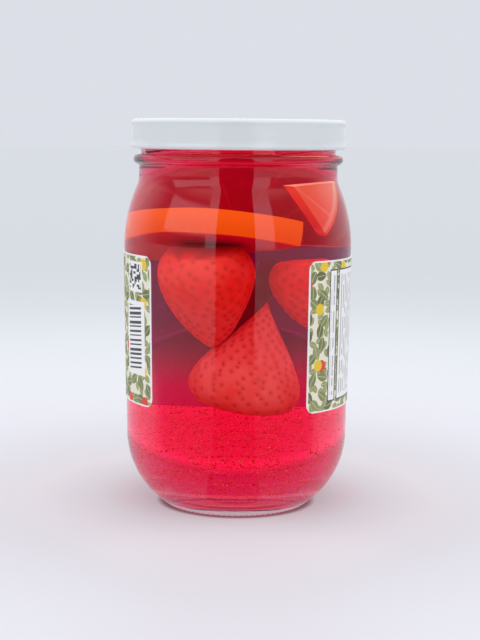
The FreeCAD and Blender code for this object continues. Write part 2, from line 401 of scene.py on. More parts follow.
def make_gap():
    """A wedge on the table that widens away from the jar, folded up at its far edge."""
    deselect()
    bpy.ops.mesh.primitive_plane_add(size=1)
    piece = bpy.context.object
    piece.name = "dark_gap"
    for vertex in piece.data.vertices:
        edge = GAP_EDGES[1] if vertex.co.x > 0 else GAP_EDGES[0]
        distance = GAP_NEAR if vertex.co.y > 0 else GAP_DISTANCE
        vertex.co = (edge * distance / GAP_DISTANCE, -distance, CLOTH_LIFT)
    bpy.ops.object.mode_set(mode="EDIT")
    bpy.ops.mesh.select_all(action="DESELECT")
    bpy.ops.object.mode_set(mode="OBJECT")
    for edge in piece.data.edges:
        edge.select = all(piece.data.vertices[i].co.y < -0.9 * GAP_DISTANCE for i in edge.vertices)
    bpy.ops.object.mode_set(mode="EDIT")
    bpy.ops.mesh.select_mode(type="EDGE")
    bpy.ops.mesh.extrude_region_move(TRANSFORM_OT_translate={"value": (0, 0, GAP_HEIGHT)})
    bpy.ops.mesh.select_mode(type="VERT")
    bpy.ops.object.mode_set(mode="OBJECT")
    return piece


def cloth_finish():
    """Black cloth that is clear from below, so that the table's own sheen doesn't show it."""
    recipe = Recipe("dark_cloth")
    above = 1 - recipe.value("ShaderNodeNewGeometry", "Backfacing")
    return recipe.surface(BLACK, 1.0, more={"Alpha": above})


gap = make_gap()
dress(gap, cloth_finish())
gap.visible_camera = False
gap.visible_diffuse = False
gap.visible_transmission = False
gap.visible_shadow = False
print("dark gap", round((GAP_EDGES[1] - GAP_EDGES[0]) / MM), "mm wide")

# %% [markdown]
# ## Turning a profile
# Glass, lid and liquid are round. A potter's way suits them: one point is extruded from station to
# station along the half section, and the outline is then spun round the jar's axis. Drawing the
# outline costs few points, because its round stretches come from a formula.

# %% The lathe
TURNS = 320


def arc(centre, radius, start, end, steps):
    """Stations on an arc of the half section; degrees, 0 outwards and 90 up."""
    angles = [math.radians(start + (end - start) * step / steps) for step in range(steps + 1)]
    return [(centre[0] + radius * math.cos(a), centre[1] + radius * math.sin(a)) for a in angles]


def line(start, end, steps):
    """Evenly spaced stations from start to end."""
    return [
        (
            start[0] + (end[0] - start[0]) * step / steps,
            start[1] + (end[1] - start[1]) * step / steps,
        )
        for step in range(steps + 1)
    ]


def finish_mesh(piece):
    """Applies the piece's own place, so that its object sits at the origin."""
    deselect()
    piece.select_set(True)
    bpy.context.view_layer.objects.active = piece
    bpy.ops.object.transform_apply(location=True, rotation=True, scale=True)


def turned(name, section, turns=TURNS):
    """A closed solid of revolution from a half section that starts and ends on the axis."""
    deselect()
    bpy.ops.mesh.primitive_plane_add(size=MM, location=(0, 0, 0))
    piece = bpy.context.object
    piece.name = name
    bpy.ops.object.mode_set(mode="EDIT")
    bpy.ops.mesh.merge(type="CENTER")
    bpy.ops.transform.translate(value=(section[0][0], 0, section[0][1]))
    here = section[0]
    for station in section[1:]:
        step = (station[0] - here[0], 0, station[1] - here[1])
        if math.hypot(step[0], step[2]) < 0.005 * MM:
            continue
        bpy.ops.mesh.extrude_region_move(TRANSFORM_OT_translate={"value": step})
        here = station
    bpy.ops.mesh.select_all(action="SELECT")
    bpy.ops.mesh.spin(steps=turns, angle=math.tau, center=(0, 0, 0), axis=(0, 0, 1))
    bpy.ops.mesh.select_all(action="SELECT")
    bpy.ops.mesh.remove_doubles(threshold=0.002 * MM)
    bpy.ops.mesh.normals_make_consistent(inside=False)
    bpy.ops.object.mode_set(mode="OBJECT")
    bpy.ops.object.shade_smooth_by_angle(angle=math.radians(40))
    return piece


print("lathe ready:", TURNS, "steps to a turn")

# %% [markdown]
# ## The glass
# The jar is pressed in a mould: a soft heel, a wall that widens a little towards the shoulder, a
# transfer bead and a finish with lug threads. Its inside is as smooth as its outside but rounder
# at the floor, so the glass is thickest at the heel. The section runs from the middle of the
# underside, up the outside, over the rim and down the inside again.

# %% Sizes of the glass
RIM = jar_high.z
BODY = jar_high.x
HEEL = 24.6 * MM
WALL_TAPER = 0.9 * MM
WALL_TOP = 88.0 * MM
SHOULDER_RISE = 24.2 * MM
SHOULDER_INSET = 5.0 * MM
NECK_CURVE = 10.0 * MM
MOUTH_CURVE = 12.0 * MM
NECK_TOP = WALL_TOP + SHOULDER_RISE
NECK = BODY - SHOULDER_INSET
FINISH = NECK - 0.7 * MM
BORE = FINISH - 2.3 * MM
BEAD = FINISH + 2.6 * MM
BEAD_CURVE = 1.65 * MM
BEAD_LEVEL = NECK_TOP + 5.1 * MM
FILLET = 0.6 * MM
FOOT = 23.9 * MM
FOOT_INNER = 22.3 * MM
PUSH_UP = 2.4 * MM
GLASS = 2.6 * MM
FLOOR = liquid_low.z
print("glass", round(RIM / MM, 1), "mm tall,", round(2 * BODY / MM, 1), "mm across")


# %% The section of the glass
def shoulder(start, end, end_curve, steps):
    """Two arcs from an upright wall in to an upright neck, tangent where they meet."""
    inset = start - end
    both = (inset**2 + SHOULDER_RISE**2) / (2 * inset)
    lean = math.degrees(math.asin(SHOULDER_RISE / both))
    wall_curve = both - end_curve
    over = arc((start - wall_curve, WALL_TOP), wall_curve, 0, lean, steps)
    under = arc((end + end_curve, NECK_TOP), end_curve, 180 + lean, 180, steps // 2)
    return over + under[1:]


def inside(clearance, level):
    """The cavity from the middle of its floor up to a level in the neck."""
    foot = BODY - WALL_TAPER - GLASS - clearance
    head = BODY - GLASS - clearance
    curve = HEEL - FLOOR - clearance
    floor = FLOOR + clearance
    stations = line((0, floor), (foot - curve, floor), 4)
    stations += arc((foot - curve, HEEL), curve, -90, 0, 28)
    stations += line((foot, HEEL), (head, WALL_TOP), 12)
    stations += shoulder(head, BORE - clearance, MOUTH_CURVE, 20)
    stations += line((BORE - clearance, NECK_TOP), (BORE - clearance, level), 4)
    return stations


def outside():
    """The outer face from the middle of the underside up to the foot of the finish."""
    stations = [
        (FOOT_INNER * step / 6, PUSH_UP * (1 - (step / 6) ** 2)) for step in range(7)
    ]
    stations += line((FOOT_INNER, 0), (FOOT, 0), 4)
    wall_foot = BODY - WALL_TAPER
    heel_curve = ((wall_foot - FOOT) ** 2 + HEEL**2) / (2 * (wall_foot - FOOT))
    start = -math.degrees(math.asin(HEEL / heel_curve))
    stations += arc((wall_foot - heel_curve, HEEL), heel_curve, start, 0, 36)
    stations += line((wall_foot, HEEL), (BODY, WALL_TOP), 10)
    stations += shoulder(BODY, NECK, NECK_CURVE, 24)
    crease = math.degrees(math.acos((BEAD - BEAD_CURVE - NECK - FILLET) / (BEAD_CURVE + FILLET)))
    drop = (BEAD_CURVE + FILLET) * math.sin(math.radians(crease))
    under = (NECK + FILLET, BEAD_LEVEL - drop)
    stations += arc(under, FILLET, 180, 180 - crease, 5)
    top = math.degrees(math.acos((BEAD - BEAD_CURVE - FINISH - FILLET) / (BEAD_CURVE + FILLET)))
    stations += arc((BEAD - BEAD_CURVE, BEAD_LEVEL), BEAD_CURVE, -crease, 180 - top, 16)
    rise = (BEAD_CURVE + FILLET) * math.sin(math.radians(top))
    over = (FINISH + FILLET, BEAD_LEVEL + rise)
    stations += arc(over, FILLET, -top, -180, 5)
    return stations


def glass_section():
    half_rim = (FINISH - BORE) / 2
    stations = outside()
    finish_foot = stations[-1]
    stations += line(finish_foot, (FINISH, RIM - half_rim), 26)
    stations += arc((BORE + half_rim, RIM - half_rim), half_rim, 0, 180, 10)
    stations += reversed(inside(0, RIM - half_rim))
    return stations


section = glass_section()
glass = turned("glass_jar", section)
print("glass jar:", len(section), "stations,", len(glass.data.polygons), "faces")

# %% [markdown]
# ### Threads and foot marks
# The lid's lugs run under four short threads that climb round the finish, and the ring that the
# jar stands on is knurled so that it grips the conveyor. Both are relief on a surface that is
# already there, so the points of the glass are pushed in or out by a formula of their place.

# %% Relief on the glass
THREADS = 4
THREAD_START = 20.0
THREAD_SWEEP = 84.0
THREAD_FOOT = 119.9 * MM
THREAD_RISE = 3.6 * MM
THREAD_HALF = 0.95 * MM
THREAD_HEIGHT = 1.15 * MM
THREAD_FADE = 6.0
ON_FINISH = 0.3 * MM
KNURLS = 80
KNURL_DEPTH = 0.22 * MM
KNURL_BAND = 3.5 * MM
KNURL_TOP = 1.6 * MM


def thread_lift(angle, height):
    """How far the thread stands out at an angle from the front, in degrees, and a height."""
    turn = (angle - THREAD_START) % (360 / THREADS)
    if turn > THREAD_SWEEP:
        return 0.0
    share = turn / THREAD_SWEEP
    off = (height - THREAD_FOOT - THREAD_RISE * share) / THREAD_HALF
    ends = min(1.0, turn / THREAD_FADE, (THREAD_SWEEP - turn) / THREAD_FADE)
    return THREAD_HEIGHT * max(0.0, 1 - off * off) * ends


def knurl_depth(angle, radius, height):
    """How deep the knurling cuts into the ring that the jar stands on."""
    fade = max(0.0, 1 - abs(radius - FOOT) / KNURL_BAND) * max(0.0, 1 - height / KNURL_TOP)
    return KNURL_DEPTH * fade * (0.5 + 0.5 * math.cos(math.radians(angle * KNURLS)))


def add_relief(piece):
    for vertex in piece.data.vertices:
        place = vertex.co
        radius = math.hypot(place.x, place.y)
        angle = math.degrees(math.atan2(place.x, -place.y))
        if abs(radius - FINISH) < ON_FINISH and place.z > BEAD_LEVEL + BEAD_CURVE:
            grown = (radius + thread_lift(angle, place.z)) / radius
            vertex.co = (place.x * grown, place.y * grown, place.z)
        elif place.z < KNURL_TOP and radius > FOOT - KNURL_BAND:
            vertex.co.z = place.z + knurl_depth(angle, radius, place.z)


add_relief(glass)
print(THREADS, "threads and", KNURLS, "knurls")

# %% [markdown]
# ### Clear, wet and stippled glass
# The glass takes three finishes, face by face. Where the liquid lies against it there is hardly any
# mirror, so those faces don't shine. The lowest ring of the outside is stippled: it scatters the
# light and shows as a pale line at the foot, and the pink of that line is painted light, standing
# for the red light that comes through the liquid. Glass, liquid, lid and label are kept out of
# diffuse and shadow rays, so that the light reaches the fruit.

# %% The finish of the glass
STIPPLE_TOP = 1.7 * MM
STIPPLE_INNER = 23.8 * MM
# Pale from the stippling, and pink as painted light from the red liquid.
STIPPLE_TONE_PAINTED_GLOW = (0.93, 0.76, 0.80, 1)
CLEAR = (1.0, 1.0, 1.0, 1)
GLASS_IOR = 1.5
FLOOR_MARGIN = 0.05 * MM


def let_light_by(piece):
    """The piece is seen and mirrored, but it casts no shadow and no bounced light."""
    piece.visible_diffuse = False
    piece.visible_shadow = False


def glass_finish(name, shine):
    """Clear glass with the faint waves that pressing leaves in it."""
    recipe = Recipe(name)
    waves = recipe.grain(recipe.place(), 90.0, 1.0)
    tint = (shine, shine, shine, 1)
    more = {"IOR": GLASS_IOR, "Transmission Weight": 1.0, "Specular Tint": tint}
    return recipe.surface(CLEAR, 0.0, recipe.bump(waves, 0.25, 0.15 * MM), more)


def foot_finish():
    """The stippled ring, which scatters the light and looks pale; its pink tint is painted light
    from the red liquid above it.
    """
    recipe = Recipe("stippled_foot")
    more = {"IOR": GLASS_IOR, "Transmission Weight": 0.25}
    return recipe.surface(STIPPLE_TONE_PAINTED_GLOW, 0.3, more=more)


def finish_faces(piece, number, chosen):
    """Gives the finish with this number to the chosen faces, and counts them."""
    faces = [face for face in piece.data.polygons if chosen(face)]
    for face in faces:
        face.material_index = number
    return len(faces)


def is_wet(face):
    """A face of the cavity that the liquid touches."""
    if not FLOOR - FLOOR_MARGIN < face.center.z < liquid_high.z:
        return False
    outward = Vector((face.center.x, face.center.y, 0)).normalized()
    return face.normal.dot(outward) < -0.01 or face.normal.z > 0.9


def is_stippled(face):
    """A face of the lowest ring outside, which the jar stands on."""
    reach = math.hypot(face.center.x, face.center.y)
    return face.center.z < STIPPLE_TOP and reach > STIPPLE_INNER


dress(glass, glass_finish("clear_glass", 1.0), glass_finish("wet_glass", 0.0), foot_finish())
print("wet faces:", finish_faces(glass, 1, is_wet))
print("stippled faces:", finish_faces(glass, 2, is_stippled))
let_light_by(glass)
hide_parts("jar")
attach(glass, "root")

# %% [markdown]
# ## The liquid
# The liquid fills the cavity. A gap of air between it and the glass would shine like a mirror, so
# its skin lies just inside the wall of the glass. Its colour isn't painted on: a red liquid takes
# green and blue out of the light along every millimetre, which Volume Absorption does.

# %% The liquid
SKIN = 0.25 * MM
LEVEL = liquid_high.z
LIQUID_TINT = (0.9957, 0.016, 0.42, 1)
LIQUID_STRENGTH = 75.0


def liquid_section():
    stations = inside(-SKIN, LEVEL)
    stations += line((BORE + SKIN, LEVEL), (0, LEVEL), 4)
    return stations


def liquid_finish():
    recipe = Recipe("red_liquid")
    sockets = {"Color": LIQUID_TINT, "Density": LIQUID_STRENGTH}
    absorbed = recipe.value("ShaderNodeVolumeAbsorption", 0, None, sockets)
    swirls = recipe.grain(recipe.place(), 60.0, 1.0)
    more = {"IOR": 1.35, "Transmission Weight": 1.0, "Specular Tint": (0.0, 0.0, 0.0, 1)}
    return recipe.surface(CLEAR, 0.0, recipe.bump(swirls, 0.1, 0.1 * MM), more, absorbed)


liquid = turned("red_liquid", liquid_section())
dress(liquid, liquid_finish())
let_light_by(liquid)
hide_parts("liquid")
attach(liquid, "root")
print("liquid:", len(liquid.data.polygons), "faces")

# %% [markdown]
# ## Many copies of one model
# Lugs, seeds and specks are each one small model, copied to every place that is worked out for it.
# The copies are then joined, so that each kind is one piece.

# %% Copies of one model
def scattered(name, model, places, finish):
    """Puts a copy of the model at every place and joins the copies."""
    deselect()
    for place in places:
        copy = model.copy()
        copy.data = model.data.copy()
        copy.matrix_world = place
        bpy.context.collection.objects.link(copy)
        copy.select_set(True)
    bpy.context.view_layer.objects.active = copy
    bpy.ops.object.join()
    piece = bpy.context.object
    piece.name = name
    bpy.data.objects.remove(model)
    finish_mesh(piece)
    dress(piece, finish)
    return piece

# %% [markdown]
# ## The lid
# A twist-off lid is one drawn sheet: a flat panel, a raised ring over the rim, a skirt and a
# rolled edge. The skirt draws in a little just above the roll.

# %% The lid
LID_RADIUS = lid_high.x
LID_TOP = lid_high.z
LID_FOOT = lid_low.z
SHEET = 0.3 * MM
LID_CORNER = 1.6 * MM
ROLL = 0.95 * MM
CHANNEL = 0.9 * MM
LUGS = 4
CHANNEL_WIDTH = 3.2 * MM
CHANNEL_SLOPE = 1.2 * MM
SKIRT_WAIST = 0.25 * MM
WAIST_RISE = 1.1 * MM
SKIRT_DRAFT = 0.1 * MM
PANEL_MARGIN = 0.4 * MM


def lid_section():
    """From the middle of the inside down the skirt, round the roll and back over the top."""
    roll_centre = (LID_RADIUS - ROLL, LID_FOOT + ROLL)
    corner_centre = (LID_RADIUS - LID_CORNER, LID_TOP - LID_CORNER)
    channel_edge = FINISH + SHEET
    skirt = LID_RADIUS - SHEET
    stations = line((0, RIM), (channel_edge, RIM), 8)
    stations += line((channel_edge, RIM), (channel_edge, LID_TOP - SHEET), 2)
    stations += arc(corner_centre, LID_CORNER - SHEET, 90, 0, 6)
    stations += line((skirt, corner_centre[1]), (skirt, roll_centre[1]), 4)
    stations += arc(roll_centre, ROLL - SHEET, 0, -270, 14)
    stations += arc(roll_centre, ROLL, -270, 0, 20)
    waist = (LID_RADIUS - SKIRT_WAIST, roll_centre[1] + WAIST_RISE)
    stations += line((LID_RADIUS, roll_centre[1]), waist, 3)
    stations += line(waist, (LID_RADIUS - SKIRT_DRAFT, corner_centre[1]), 6)
    stations += arc(corner_centre, LID_CORNER, 8, 90, 12)
    ring_inner = FINISH - CHANNEL_WIDTH
    for step in range(9):
        share = step / 8
        ease = share * share * (3 - 2 * share)
        stations.append((ring_inner + CHANNEL_SLOPE * (1 - share), LID_TOP - CHANNEL * ease))
    panel = LID_TOP - CHANNEL
    stations += line((ring_inner - PANEL_MARGIN, panel), (0, panel), 8)
    return stations


lid = turned("lid_shell", lid_section(), 256)
print("lid:", len(lid.data.polygons), "faces")


# %% The enamel
def enamel_finish():
    """White enamel: smooth, with the faintest orange peel and a tone that wanders a little from
    place to place.
    """
    recipe = Recipe("white_enamel")
    place = recipe.place()
    peel = recipe.grain(place, 900.0, 2.0)
    cloud = recipe.grain(place, 40.0, 3.0)
    colour = recipe.mix(cloud, (0.66, 0.69, 0.705, 1), (0.70, 0.73, 0.745, 1))
    more = {"Coat Weight": 0.3, "Coat Roughness": 0.08}
    return recipe.surface(colour, 0.18 + cloud * 0.08, recipe.bump(peel, 0.12, 0.05 * MM), more)


dress(lid, enamel_finish())
let_light_by(lid)
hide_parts("lid")
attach(lid, "root")

# %% [markdown]
# Four lugs reach in from the rolled edge and hook under the threads. One is a bar bent along the
# roll; the others are copies of it, a quarter of a turn apart.

# %% The lugs
LUG_INNER = 33.25 * MM
LUG_OUTER = 34.9 * MM
LUG_LOW = 121.2 * MM
LUG_HIGH = 122.1 * MM
LUG_ARC = 20.0
LUG_END = 0.45


def make_lug():
    deselect()
    bpy.ops.mesh.primitive_cube_add(size=1)
    piece = bpy.context.object
    bpy.ops.object.mode_set(mode="EDIT")
    bpy.ops.mesh.subdivide(number_cuts=11)
    bpy.ops.object.mode_set(mode="OBJECT")
    for vertex in piece.data.vertices:
        x, y, z = vertex.co
        fade = 1 - (2 * abs(x)) ** 6
        reach = (0.5 - y) * (LUG_END + (1 - LUG_END) * fade)
        radius = LUG_OUTER + (LUG_INNER - LUG_OUTER) * reach
        angle = math.radians(LUG_ARC) * (x + 0.5)
        height = LUG_LOW + (LUG_HIGH - LUG_LOW) * (z + 0.5)
        vertex.co = (radius * math.sin(angle), -radius * math.cos(angle), height)
    return piece


quarters = [Matrix.Rotation(math.tau * turn / LUGS, 4, "Z") for turn in range(LUGS)]
lugs = scattered("lid_lugs", make_lug(), quarters, enamel_finish())
let_light_by(lugs)
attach(lugs, "root")
print("lugs:", LUGS)

# %% [markdown]
# ## The label
# The label is a strip of paper that wraps three quarters of the way round and leaves the front
# open. It starts as a flat grid with one square to each millimetre or so, its corners are rounded
# while it is flat, and its flat shape becomes the map that the print is drawn on. Only then is it
# bent round the wall.

# %% The strip of paper
LABEL_RIGHT = 36.9
LABEL_LEFT = 46.6
LABEL_CORNER = 3.0 * MM
LABEL_TILT = 0.87
PAPER = 0.26 * MM
LABEL_COLUMNS = 300
LABEL_ROWS = 40
LABEL_SPAN = math.radians(360 - LABEL_RIGHT - LABEL_LEFT)
END_CROWDING = 0.85
MAP_INSET = 0.4 * MM
MAP_UNITS = 10
LABEL_SINK = 0.08 * MM
LABEL_LENGTH = LABEL_SPAN * (BODY - MAP_INSET)
LABEL_HEIGHT = label_high.z - label_low.z
LABEL_MIDDLE = (label_high.z + label_low.z) / 2


def wall_radius(height):
    """The outer radius of the glass between the heel and the shoulder."""
    share = (height - HEEL) / (WALL_TOP - HEEL)
    return BODY - WALL_TAPER * (1 - share)


def corner_drop(distance):
    """How far the label's edge is cut back at a distance from its end, to round the corner."""
    inner = max(0.0, LABEL_CORNER - distance)
    return LABEL_CORNER - math.sqrt(LABEL_CORNER**2 - inner**2)


def make_label():
    deselect()
    bpy.ops.mesh.primitive_grid_add(
        x_subdivisions=LABEL_COLUMNS, y_subdivisions=LABEL_ROWS, size=1
    )
    piece = bpy.context.object
    piece.name = "paper_label"
    mesh = piece.data
    # The columns lie closer together towards the ends, where the corners are rounded.
    flat = []
    for vertex in mesh.vertices:
        share = vertex.co.x + 0.5
        ease = share - math.sin(math.tau * share) / math.tau * END_CROWDING
        along = ease * LABEL_LENGTH
        half = LABEL_HEIGHT / 2 - corner_drop(min(along, LABEL_LENGTH - along))
        flat.append((along, vertex.co.y * 2 * half))
    uv_map = mesh.uv_layers.active or mesh.uv_layers.new(name="print")
    for loop in mesh.loops:
        along, up = flat[loop.vertex_index]
        place = (along * MAP_UNITS, (up + LABEL_HEIGHT / 2) * MAP_UNITS)
        uv_map.data[loop.index].uv = place
    for vertex, (along, up) in zip(mesh.vertices, flat):
        angle = math.radians(LABEL_RIGHT) + along / LABEL_LENGTH * LABEL_SPAN
        height = LABEL_MIDDLE + up
        radius = wall_radius(height) - LABEL_SINK
        across = radius * math.sin(angle)
        vertex.co = (across, -radius * math.cos(angle), height)
        vertex.co.z -= across * math.tan(math.radians(LABEL_TILT))
    bpy.ops.object.mode_set(mode="EDIT")
    bpy.ops.mesh.select_all(action="SELECT")
    bpy.ops.mesh.normals_make_consistent(inside=False)
    bpy.ops.object.mode_set(mode="OBJECT")
    return piece


label = make_label()
print("label:", round(LABEL_LENGTH / MM, 1), "by", round(LABEL_HEIGHT / MM, 1), "mm")
outward = sum(
    polygon.normal.dot(Vector((polygon.center.x, polygon.center.y, 0)))
    for polygon in label.data.polygons
)
if outward < 0:
    label.data.flip_normals()

# %% [markdown]
# ### The print
# The print is drawn on the flat map, in units of a decimetre. Leaves are lens shapes turned at
# random in the cells of a Voronoi pattern, berries are round spots in a coarser one, and the
# panels are rectangles with soft bars. Nothing on it can be read.

# %% Shapes on paper
CREAM = (0.80, 0.76, 0.62, 1)
PAPER_WHITE = (0.86, 0.86, 0.85, 1)
OLIVE = (0.12, 0.14, 0.035, 1)
SAGE = (0.31, 0.34, 0.13, 1)
BERRY = (0.72, 0.05, 0.03, 1)
AMBER = (0.80, 0.55, 0.02, 1)
INK = (0.05, 0.05, 0.06, 1)
PRINT_LENGTH = LABEL_LENGTH * MAP_UNITS
PRINT_HEIGHT = LABEL_HEIGHT * MAP_UNITS
PRINT_EDGE = 0.001
LEAF_WIDTH = 0.32
# Boxes are left, low, right and high, in decimetres from the nearer end and from the lower edge.
MOSAIC = (0.046, 0.375, 0.145, 0.475)
MOSAIC_INNER = (0.054, 0.385, 0.137, 0.467)
BARS = (0.035, 0.10, 0.160, 0.345)
BARS_INNER = (0.055, 0.115, 0.145, 0.33)
PANELS = ((0.098, 0.142), (0.154, 0.345), (0.375, 0.60))
PANEL_EDGE = 0.03
PANEL_FRAME = 0.0045
BACK_FIELDS = ((0.0, OLIVE), (0.012, CREAM), (0.03, OLIVE), (0.036, CREAM))
BACK_HALF = 0.42
BACK_EDGE = 0.06


def inside_box(recipe, u, v, box):
    """1 inside the box (left, low, right, high) and 0 outside it."""
    left, low, right, high = box
    across = between(recipe, u, left, right, PRINT_EDGE)
    return across * between(recipe, v, low, high, PRINT_EDGE)


def inset(box, margin):
    """The box drawn in by a margin on every side."""
    left, low, right, high = box
    return (left + margin, low + margin, right - margin, high - margin)


def cells(recipe, plane, scale, randomness):
    """A pattern of cells on the plane, as a node with its outputs."""
    return recipe.node(
        "ShaderNodeTexVoronoi",
        {"voronoi_dimensions": "2D"},
        {"Vector": plane, "Scale": scale, "Randomness": randomness},
    )


def leaves(recipe, plane, scale, shift, length):
    """Lens-shaped leaves, one to a cell and each turned its own way; also a tone for each."""
    moved = recipe.vector("ADD", plane, (shift, shift * 0.7, 0))
    pattern = cells(recipe, moved, scale, 0.85)
    centre = recipe.vector("SCALE", Value(recipe, pattern.outputs["Position"]), Scale=scale)
    offset = recipe.vector("SUBTRACT", recipe.vector("SCALE", moved, Scale=scale), centre)
    chance, turn, _ = recipe.split(Value(recipe, pattern.outputs["Color"]))
    settings = {"rotation_type": "Z_AXIS"}
    sockets = {"Vector": offset, "Angle": turn * math.tau}
    x, y, _ = recipe.split(recipe.value("ShaderNodeVectorRotate", 0, settings, sockets))
    along = x / length
    room = (1 - along * along).math("MAXIMUM", 0.0)
    across = y.math("ABSOLUTE")
    shape = 1 - recipe.smooth(across - room * LEAF_WIDTH, -0.02, 0.02)
    rib = 1 - recipe.smooth(across, 0.010, 0.035)
    return shape, rib * shape, chance


def spots(recipe, plane, scale, shift, size):
    """Round berries, one to a cell where chance allows."""
    pattern = cells(recipe, recipe.vector("ADD", plane, (shift, shift * 0.4, 0)), scale, 1.0)
    distance = Value(recipe, pattern.outputs["Distance"])
    chance, _, _ = recipe.split(Value(recipe, pattern.outputs["Color"]))
    return (1 - recipe.smooth(distance, size - 0.02, size + 0.02)) * (chance > 0.6)


def foliage(recipe, plane):
    """Leaves of two sizes on cream, with berries of two colours among them."""
    big, big_rib, tone = leaves(recipe, plane, 21.0, 0.0, 0.58)
    small, small_rib, _ = leaves(recipe, plane, 30.0, 3.7, 0.56)
    colour = recipe.mix(small, CREAM, SAGE)
    colour = recipe.mix(small_rib * 0.5, colour, CREAM)
    colour = recipe.mix(big, colour, recipe.mix(tone, OLIVE, SAGE))
    colour = recipe.mix(big_rib * 0.6, colour, CREAM)
    colour = recipe.mix(spots(recipe, plane, 10.0, 1.3, 0.19), colour, BERRY)
    return recipe.mix(spots(recipe, plane, 8.5, 5.1, 0.16), colour, AMBER)


def random_tone(recipe, dimensions, socket, given):
    """A tone between 0 and 1 that jumps wherever the given value changes."""
    settings = {"noise_dimensions": dimensions}
    return recipe.value("ShaderNodeTexWhiteNoise", "Value", settings, {socket: given})


def left_end(recipe, plane, side, v, colour):
    """What shows at the left of the front: a block of squares over a field of bars."""
    colour = recipe.mix(inside_box(recipe, side, v, MOSAIC), colour, PAPER_WHITE)
    squares = recipe.vector("FLOOR", recipe.vector("SCALE", plane, Scale=120.0))
    dark = random_tone(recipe, "2D", "Vector", squares) > 0.5
    colour = recipe.mix(dark * inside_box(recipe, side, v, MOSAIC_INNER), colour, INK)
    colour = recipe.mix(inside_box(recipe, side, v, BARS), colour, PAPER_WHITE)
    ladder = v * 66.0 + side * 7.0
    thickness = random_tone(recipe, "1D", "W", ladder.math("FLOOR")) * 0.4 + 0.35
    bars = ladder.math("FRACT") > thickness
    return recipe.mix(bars * inside_box(recipe, side, v, BARS_INNER), colour, INK)


def right_end(recipe, plane, u, v, colour):
    """What shows at the right of the front: white panels of broken lines in thin frames."""
    strokes = ((u * 58.0).math("FRACT") < 0.42) * (recipe.grain(plane, 34.0, 0.0) > 0.40)
    for left, right in PANELS:
        panel = (left, PANEL_EDGE, right, PRINT_HEIGHT - PANEL_EDGE)
        inner = inset(panel, PANEL_FRAME)
        colour = recipe.mix(inside_box(recipe, u, v, panel), colour, INK)
        colour = recipe.mix(inside_box(recipe, u, v, inner), colour, PAPER_WHITE)
        written = inside_box(recipe, u, v, (left + 0.010, 0.05, right - 0.010, PRINT_HEIGHT - 0.05))
        colour = recipe.mix(strokes * written * 0.5, colour, INK)
    return colour


def print_finish():
    recipe = Recipe("label_print")
    plane = recipe.map_place()
    u, v, _ = recipe.split(plane)
    colour = foliage(recipe, plane)
    colour = left_end(recipe, plane, PRINT_LENGTH - u, v, colour)
    colour = right_end(recipe, plane, u, v, colour)
    # The middle of the back: a plain cream field in a double frame.
    middle = PRINT_LENGTH / 2
    back = (middle - BACK_HALF, BACK_EDGE, middle + BACK_HALF, PRINT_HEIGHT - BACK_EDGE)
    for margin, tone in BACK_FIELDS:
        colour = recipe.mix(inside_box(recipe, u, v, inset(back, margin)), colour, tone)
    # A thin unprinted edge all round.
    printed = inside_box(recipe, u, v, (0.006, 0.005, PRINT_LENGTH - 0.006, PRINT_HEIGHT - 0.005))
    colour = recipe.mix(printed, PAPER_WHITE, colour)
    fibres = recipe.grain(plane, 300.0, 3.0)
    return recipe.surface(colour, 0.42 + fibres * 0.12, recipe.bump(fibres, 0.15, 0.03 * MM))


def paper_finish():
    """The back of the label, which is seen through the red liquid alone: blue shows as purple.
    Towards its lower edge it is painted paler, as painted light that reaches it from below the
    label.
    """
    recipe = Recipe("label_back")
    fibres = recipe.grain(recipe.place(), 700.0, 3.0)
    colour = recipe.mix(fibres, (0.20, 0.24, 0.80, 1), (0.25, 0.28, 0.86, 1))
    _, _, height = recipe.split(recipe.place())
    # Painted light: paler towards the lower edge.
    painted_light_low_edge = recipe.smooth(height, LABEL_MIDDLE, label_low.z) * 0.6
    colour = recipe.mix(painted_light_low_edge, colour, PAPER_WHITE)
    return recipe.surface(colour, 0.8)


solid = label.modifiers.new("thickness", "SOLIDIFY")
solid.thickness = PAPER
solid.offset = 1.0
solid.material_offset = 1
solid.material_offset_rim = 0
dress(label, print_finish(), paper_finish())
deselect()
label.select_set(True)
bpy.context.view_layer.objects.active = label
bpy.ops.object.modifier_apply(modifier=solid.name)
bpy.ops.object.shade_smooth_by_angle(angle=math.radians(40))
let_light_by(label)
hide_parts("label")
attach(label, "root")

# %% [markdown]
# ## The fruit
# Strawberries start as a sphere that is tapered and cut flat where the cap was. Each seed sits in a
# small dimple: the dimples follow a golden-angle spiral, and the points near each are pushed in
# along their normals. How deep a point was pushed is kept as an attribute, which the finish reads
# to paint shade into the dimples.

# %% A strawberry
GOLDEN = math.pi * (3 - math.sqrt(5))
DIMPLE_REACH = 1.0 * MM
DIMPLE_DEPTH = 0.40 * MM
# Painted shade in the seed dimples.
PAINTED_DIMPLE_SHADE = (0.42, 0.012, 0.01, 1)
SEED_SINK = 0.30 * MM
SEED_LOW = -0.40
SEED_SPAN = 0.94
CROWN = 1.16
FLATNESS = 0.92
STRETCH = 1.12
HULLED_AT = 0.44
FADE_HEIGHTS = (74 * MM, 64 * MM)
# Under liquid a surface hardly mirrors anything.
WET = {"Specular IOR Level": 0.05}


